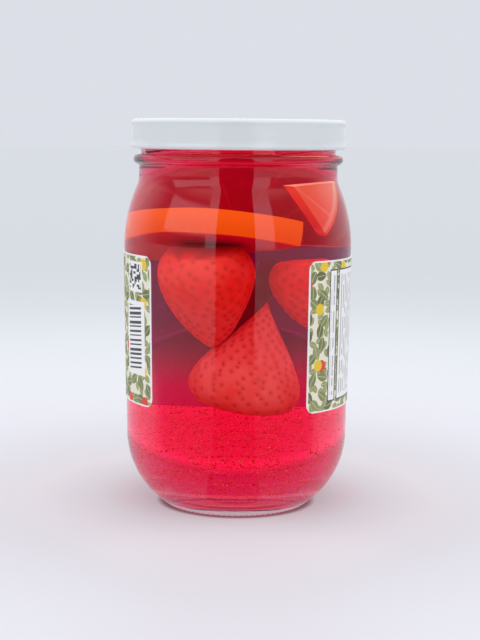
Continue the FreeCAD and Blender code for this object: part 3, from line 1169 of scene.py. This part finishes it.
def berry_finish(name, flesh, blush, faded=None):
    """Cloudy flesh with painted shade in the dimples; faded is the colour of its lower end."""
    recipe = Recipe(name)
    place = recipe.place()
    dimple = recipe.value("ShaderNodeAttribute", 2, {"attribute_name": "dimple"})
    cloud = recipe.grain(place, 110.0, 3.0)
    colour = recipe.mix(recipe.smooth(cloud, 0.35, 0.7), flesh, blush)
    if faded is not None:
        _, _, height = recipe.split(place)
        colour = recipe.mix(recipe.smooth(height, *FADE_HEIGHTS) * 0.8, colour, faded)
    # Painted shade, deepest in the middle of each dimple.
    colour = recipe.mix(dimple * 0.45, colour, PAINTED_DIMPLE_SHADE)
    fine = recipe.grain(place, 900.0, 2.0)
    return recipe.surface(colour, 0.5, recipe.bump(fine, 0.3, 0.1 * MM), WET)


def sunk(piece, stand, crease, finish):
    """Puts a piece in its place in the liquid, smooth where its faces turn less than the crease."""
    piece.matrix_world = stand
    finish_mesh(piece)
    bpy.ops.object.shade_smooth_by_angle(angle=math.radians(crease))
    dress(piece, finish)
    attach(piece, "root")
    return piece


seed_places = []


def strawberry(name, middle, tilt, width, length, point, curve, seeds, finish, chance):
    """A hulled strawberry, in mm and degrees, its tip along +Z before it is tilted into place."""
    deselect()
    bpy.ops.mesh.primitive_uv_sphere_add(segments=144, ring_count=96, radius=0.5)
    piece = bpy.context.object
    piece.name = name
    across = width * MM
    along = length * MM
    for vertex in piece.data.vertices:
        share = vertex.co.z + 0.5
        taper = CROWN - point * share**curve
        wobble = 1 + 0.05 * noise.noise(vertex.co * 2.2 + Vector((chance, 0, 0)))
        vertex.co.x *= across * taper * wobble
        vertex.co.y *= across * taper * wobble * FLATNESS
        vertex.co.z *= along * STRETCH
    bpy.ops.object.mode_set(mode="EDIT")
    bpy.ops.mesh.select_all(action="SELECT")
    hull = {"plane_co": (0, 0, -HULLED_AT * along), "plane_no": (0.05, 0.08, -1)}
    bpy.ops.mesh.bisect(**hull, use_fill=True, clear_outer=True)
    bpy.ops.object.mode_set(mode="OBJECT")
    turn = Euler([math.radians(angle) for angle in tilt]).to_matrix().to_4x4()
    stand = Matrix.Translation([number * MM for number in middle]) @ turn
    for seed in press_dimples(piece, seeds, along, chance):
        seed_places.append(stand @ seed)
    return sunk(piece, stand, 50, finish)


def press_dimples(piece, seeds, length, chance):
    """Presses seed dimples into the berry's side in a spiral, and tells where each seed lies."""
    mesh = piece.data
    tree = kdtree.KDTree(len(mesh.vertices))
    for vertex in mesh.vertices:
        tree.insert(vertex.co, vertex.index)
    tree.balance()
    normals = [vertex.normal.copy() for vertex in mesh.vertices]
    depth = [0.0] * len(mesh.vertices)
    draw = random.Random(chance)
    places = []
    for seed in range(seeds):
        up = SEED_LOW + SEED_SPAN * (seed + 0.5) / seeds
        angle = seed * GOLDEN + draw.uniform(-0.12, 0.12)
        reach = math.sqrt(max(0.02, 1 - (2 * up) ** 2)) * length * 0.5
        guess = Vector((reach * math.cos(angle), reach * math.sin(angle), up * length * 1.08))
        centre, found, _ = tree.find(guess)
        for place, index, distance in tree.find_range(centre, 2.2 * DIMPLE_REACH):
            fall = math.exp(-((distance / DIMPLE_REACH) ** 2) * 2.2)
            depth[index] = max(depth[index], fall)
        normal = normals[found]
        across = normal.cross(Vector((0, 0, 1))).normalized()
        along = across.cross(normal)
        turn = Matrix((across, along, normal)).transposed().to_4x4()
        size = Matrix.Scale(draw.uniform(0.8, 1.15), 4)
        places.append(Matrix.Translation(centre - normal * SEED_SINK) @ turn @ size)
    attribute = mesh.attributes.new("dimple", "FLOAT", "POINT")
    attribute.data.foreach_set("value", depth)
    for vertex, normal, amount in zip(mesh.vertices, normals, depth):
        vertex.co -= normal * amount * DIMPLE_DEPTH
    return places


FADED = (0.90, 0.16, 0.12, 1)
pale_berry = berry_finish("pale_strawberry", (0.90, 0.15, 0.11, 1), (0.86, 0.08, 0.06, 1))
red_berry = berry_finish("red_strawberry", (0.97, 0.075, 0.05, 1), (0.92, 0.030, 0.018, 1), FADED)
# Name, middle, tilt, width, length, how pointed, how curved, seeds, finish and chance.
BERRIES = (
    ("strawberry_upper", (-8.4, -17.8, 73.8), (188, -8, 0), 32.0, 33, 0.80, 1.2, 230, red_berry, 3),
    ("strawberry_lower", (4.4, -15.6, 52.4), (4, 12, 0), 45.0, 34.8, 1.08, 0.8, 300, pale_berry, 8),
    ("strawberry_behind", (18.6, -7.0, 74.0), (172, -6, 80), 23, 23, 0.70, 1.2, 150, red_berry, 5),
)
berries = [strawberry(*row) for row in BERRIES]
print("strawberries:", len(berries), "with", len(berries[0].data.polygons), "faces each or so")

# %% [markdown]
# ## The orange slices
# A slice is half a wheel: flesh in wedges between pale walls, a white pith and a bright peel. It
# is a short cylinder with enough rings for the relief of its wedges, cut in half and tilted into
# place. The finish reads a flat map of the slice, so the wedges stay with it however it lies.

# %% A half slice of orange
WEDGES = 10
PEEL = (1.0, 0.13, 0.002, 1)
# Where one colour gives way to the next: across a wedge, out from the middle as a share of the
# radius, up the jar into a painted shade, and as a face turns away from the front into painted
# light.
WALL_EDGE = (0.44, 0.485)
PITH_EDGE = (0.86, 0.89)
PEEL_EDGE = (0.945, 0.965)
# Painted shade: how high in the jar it starts and where it is full.
PAINTED_SHADE_TOP_EDGE = (36 * MM, 58 * MM)
AWAY_EDGE = (0.3, 0.6)
FLESH_EDGE = (0.93, 0.95)


def orange_finish(name, pulp, juice, pith, peel, painted_shade_top=None, outside=None):
    """Peel, pith and wedges, read from the flat map of the slice. The second to last argument is a
    painted shade on what lies high in the jar, and the last is painted light: a colour given to cut
    faces turned up or to the back, which face the light."""
    recipe = Recipe(name)
    x, y, _ = recipe.split(recipe.map_place())
    distance = (x * x + y * y).math("SQRT")
    angle = y.math("ARCTAN2", x)
    wedge = ((angle * (WEDGES / math.tau)).math("FRACT") - 0.5).math("ABSOLUTE")
    grain = recipe.grain(recipe.place(), 260.0, 3.0)
    colour = recipe.mix(grain, pulp, juice)
    colour = recipe.mix(recipe.smooth(wedge, *WALL_EDGE) * 0.6, colour, pith)
    colour = recipe.mix(recipe.smooth(distance, *PITH_EDGE), colour, pith)
    colour = recipe.mix(recipe.smooth(distance, *PEEL_EDGE), colour, peel)
    # Painted shade, darker high in the jar.
    if painted_shade_top is not None:
        _, _, height = recipe.split(recipe.place())
        colour = recipe.mix(recipe.smooth(height, *PAINTED_SHADE_TOP_EDGE), colour, painted_shade_top)
    # Painted light on cut flesh turned up or to the back.
    if outside is not None:
        facing = recipe.value("ShaderNodeNewGeometry", "True Normal")
        _, back, up = recipe.split(facing)
        away = recipe.smooth(up.math("MAXIMUM", back), *AWAY_EDGE)
        flesh = 1 - recipe.smooth(distance, *FLESH_EDGE)
        colour = recipe.mix(away * flesh, colour, outside)
    sockets = {"Vector": recipe.place(), "Scale": 900.0}
    pores = recipe.value("ShaderNodeTexVoronoi", 0, None, sockets)
    return recipe.surface(colour, 0.45, recipe.bump(pores, 0.25, 0.2 * MM), WET)


def orange_slice(name, size, cuts, across, down, middle, finish):
    """Part of a wheel; its size is radius and thickness, in mm. Each cut keeps what lies behind
    its plane, and across and down say where the wheel's own +X and -Y point."""
    radius, thickness = [number * MM for number in size]
    deselect()
    bpy.ops.mesh.primitive_cylinder_add(
        vertices=192, radius=radius, depth=thickness, end_fill_type="TRIFAN"
    )
    piece = bpy.context.object
    piece.name = name
    bpy.ops.object.mode_set(mode="EDIT")
    for cut in cuts:
        bpy.ops.mesh.select_all(action="SELECT")
        bpy.ops.mesh.bisect(plane_co=(0, 0, 0), plane_no=cut, use_fill=True, clear_outer=True)
    bpy.ops.mesh.select_all(action="SELECT")
    bpy.ops.mesh.subdivide(number_cuts=3)
    bpy.ops.object.mode_set(mode="OBJECT")
    mesh = piece.data
    uv_map = mesh.uv_layers.active or mesh.uv_layers.new(name="slice")
    for loop in mesh.loops:
        flat = mesh.vertices[loop.vertex_index].co / radius
        uv_map.data[loop.index].uv = (flat.x, flat.y)
    for vertex in mesh.vertices:
        reach = math.hypot(vertex.co.x, vertex.co.y)
        bulge = 0.5 * MM * (1 - (2 * vertex.co.z / thickness) ** 2)
        if reach > 0.9 * radius:
            vertex.co.x *= 1 + bulge / reach
            vertex.co.y *= 1 + bulge / reach
        waver = noise.noise(vertex.co * 60 + Vector((radius * 1000, 0, 0)))
        vertex.co.z *= 1 + 0.10 * waver
    right = Vector(across).normalized()
    front = Vector(down)
    front = (front - right * front.dot(right)).normalized()
    turn = Matrix((right, -front, right.cross(-front))).transposed().to_4x4()
    stand = Matrix.Translation([number * MM for number in middle]) @ turn
    return sunk(piece, stand, 40, finish)


# Each finish takes the colours of pulp, juice, pith and peel, strong enough to be seen through
# the red liquid, which takes most of the green and part of the blue away.
# The front slice is seen from below: its pulp colours are soaked in wine and also a painted shade,
# and its cut faces turned up or to the back take a painted lit orange.
WINE = ((0.72, 0.015, 0.40, 1), (0.85, 0.02, 0.42, 1), (0.85, 0.03, 0.42, 1))
PAINTED_LIT_ORANGE = (0.92, 0.12, 0.03, 1)
soaked = orange_finish("soaked_orange", *WINE, PEEL, outside=PAINTED_LIT_ORANGE)
# The back slice is steeped dark, and darker still as painted shade: it stands high at the back,
# where the lid and label keep the light off.
SHADED_STEEPED = ((0.47, 0.014, 0.09, 1), (0.61, 0.025, 0.11, 1), (0.62, 0.045, 0.115, 1))
shaded_steeped = orange_finish("shaded_steeped_orange", *SHADED_STEEPED, SHADED_STEEPED[1])
# The low slice is painted darker from the label's lower edge up, as painted shade.
PURPLE = (0.86, 0.08, 0.84, 1)
LIGHT_PURPLE = (0.90, 0.09, 0.88, 1)
DARK_PURPLE = (0.36, 0.09, 0.60, 1)
WINE_RED = (0.80, 0.06, 0.10, 1)
purple_colours = (PURPLE, LIGHT_PURPLE, PURPLE, DARK_PURPLE, DARK_PURPLE, WINE_RED)
purple = orange_finish("purple_orange", *purple_colours)
# The slice on edge is dark crimson as painted shade: it fills the gap behind the strawberries,
# where shade falls between them.
SHADE_CRIMSON = ((0.32, 0.005, 0.16, 1), (0.36, 0.006, 0.18, 1), (0.38, 0.008, 0.18, 1))
shade_crimson = orange_finish("shade_crimson_orange", *SHADE_CRIMSON, SHADE_CRIMSON[0])
BRIGHT = ((1.0, 0.17, 0.07, 1), (1.0, 0.27, 0.12, 1), (1.0, 0.5, 0.3, 1))
bright = orange_finish("bright_orange", *BRIGHT, PEEL)

HALF = (0, 1, 0)
EIGHTH = (-0.788, -0.616, 0)
# Name, radius and thickness, cuts, across, down, middle and finish.
FRONT = ((0.616, -0.788, 0.130), (-0.788, -0.616, 0.235), (-0.8, 0, 89.5), soaked)
SIDE = ((0.62, 0.78, 0.05), (0.03, 0.04, -1.0), (15.0, -21.5, 108.5), bright)
BACK = ((-1.0, -0.12, 0.05), (0.0, -0.20, 0.98), (0, 11, 89.2), shaded_steeped)
LOW = ((-1.0, 0.0, 0.0), (0.0, 0.0, 1.0), (0, 16, 32.5), purple)
ON_EDGE = ((0.28, 0.0, 0.96), (0.0, 1.0, 0.0), (4.0, 3.0, 67.0), shade_crimson)
SLICES = (
    ("orange_slice_front", (33.2, 7.8), [HALF], *FRONT),
    ("orange_slice_side", (21.4, 4.5), [HALF, EIGHTH], *SIDE),
    ("orange_slice_back", (31.5, 7.0), [HALF], *BACK),
    ("orange_slice_low", (28.5, 6.0), [HALF], *LOW),
    ("orange_slice_on_edge", (17.0, 6.0), [HALF], *ON_EDGE),
)
slices = [orange_slice(*row) for row in SLICES]
print("orange slices:", len(slices), "with", len(slices[0].data.polygons), "faces in the first")

# %% [markdown]
# ## Seeds and specks
# Each dimple on a berry holds a seed, and fine ground spice hangs in the liquid and thickens
# towards the floor. The spice is strewn once in a small helping, and the helping is then copied
# at random turns about the jar's axis.

# %% The seeds
SEED_BROWN = (0.76, 0.06, 0.04, 1)


def small_ball(across, along, thick):
    """A twenty-sided ball, squashed to a size."""
    deselect()
    bpy.ops.mesh.primitive_ico_sphere_add(subdivisions=1, radius=1.0)
    ball = bpy.context.object
    ball.scale = (across / 2, along / 2, thick / 2)
    finish_mesh(ball)
    return ball


def seed_finish():
    recipe = Recipe("seed_brown")
    return recipe.surface(SEED_BROWN, 0.5, more=WET)


seed = small_ball(0.75 * MM, 1.3 * MM, 0.45 * MM)
seeds = scattered("strawberry_seeds", seed, seed_places, seed_finish())
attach(seeds, "root")
print("seeds:", len(seed_places))

# %% The specks
HELPINGS = 36
GRAINS = 240
SPECK_LOW = FLOOR + 1 * MM
SPECK_SPAN = 35.0 * MM - FLOOR
SPECK_WALL_GAP = 0.8 * MM
SETTLING = 1.1
SPECK_SIZES = (0.6, 0.7, 0.8, 1.0, 1.2, 1.6)


def speck_finish():
    recipe = Recipe("spice")
    tone = recipe.grain(recipe.place(), 500.0, 1.0)
    colour = recipe.mix(tone, (0.74, 0.045, 0.035, 1), (1.0, 0.22, 0.14, 1))
    return recipe.surface(colour, 0.8, more=WET)


def cavity_radius(height):
    """The radius of the cavity at a height in the lower half of the jar."""
    foot = BODY - WALL_TAPER - GLASS
    if height > HEEL:
        return foot
    curve = HEEL - FLOOR
    return foot - curve + math.sqrt(max(0.0, curve**2 - (HEEL - height) ** 2))


def random_turn(draw):
    return Euler([draw.uniform(0, math.tau) for _ in range(3)]).to_matrix().to_4x4()


def speck_places(draw):
    """Where the grains of one helping lie in the cavity."""
    places = []
    for _ in range(GRAINS):
        height = SPECK_LOW + SPECK_SPAN * draw.random() ** SETTLING
        reach = (cavity_radius(height) - SPECK_WALL_GAP) * math.sqrt(draw.random())
        angle = draw.uniform(0, math.tau)
        middle = (reach * math.cos(angle), reach * math.sin(angle), height)
        size = Matrix.Scale(draw.choice(SPECK_SIZES), 4)
        places.append(Matrix.Translation(middle) @ random_turn(draw) @ size)
    return places


draw = random.Random(21)
spice = speck_finish()
grain = small_ball(0.34 * MM, 0.28 * MM, 0.2 * MM)
helping = scattered("helping", grain, speck_places(draw), spice)
turns = [Matrix.Rotation(draw.uniform(0, math.tau), 4, "Z") for _ in range(HELPINGS)]
specks = scattered("spice_specks", helping, turns, spice)
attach(specks, "root")
print("grains:", HELPINGS * GRAINS)

# %% [markdown]
# ## The end
# The visual model has to stay inside the box of the CAD model.

# %% The end
print("the jar is dressed")
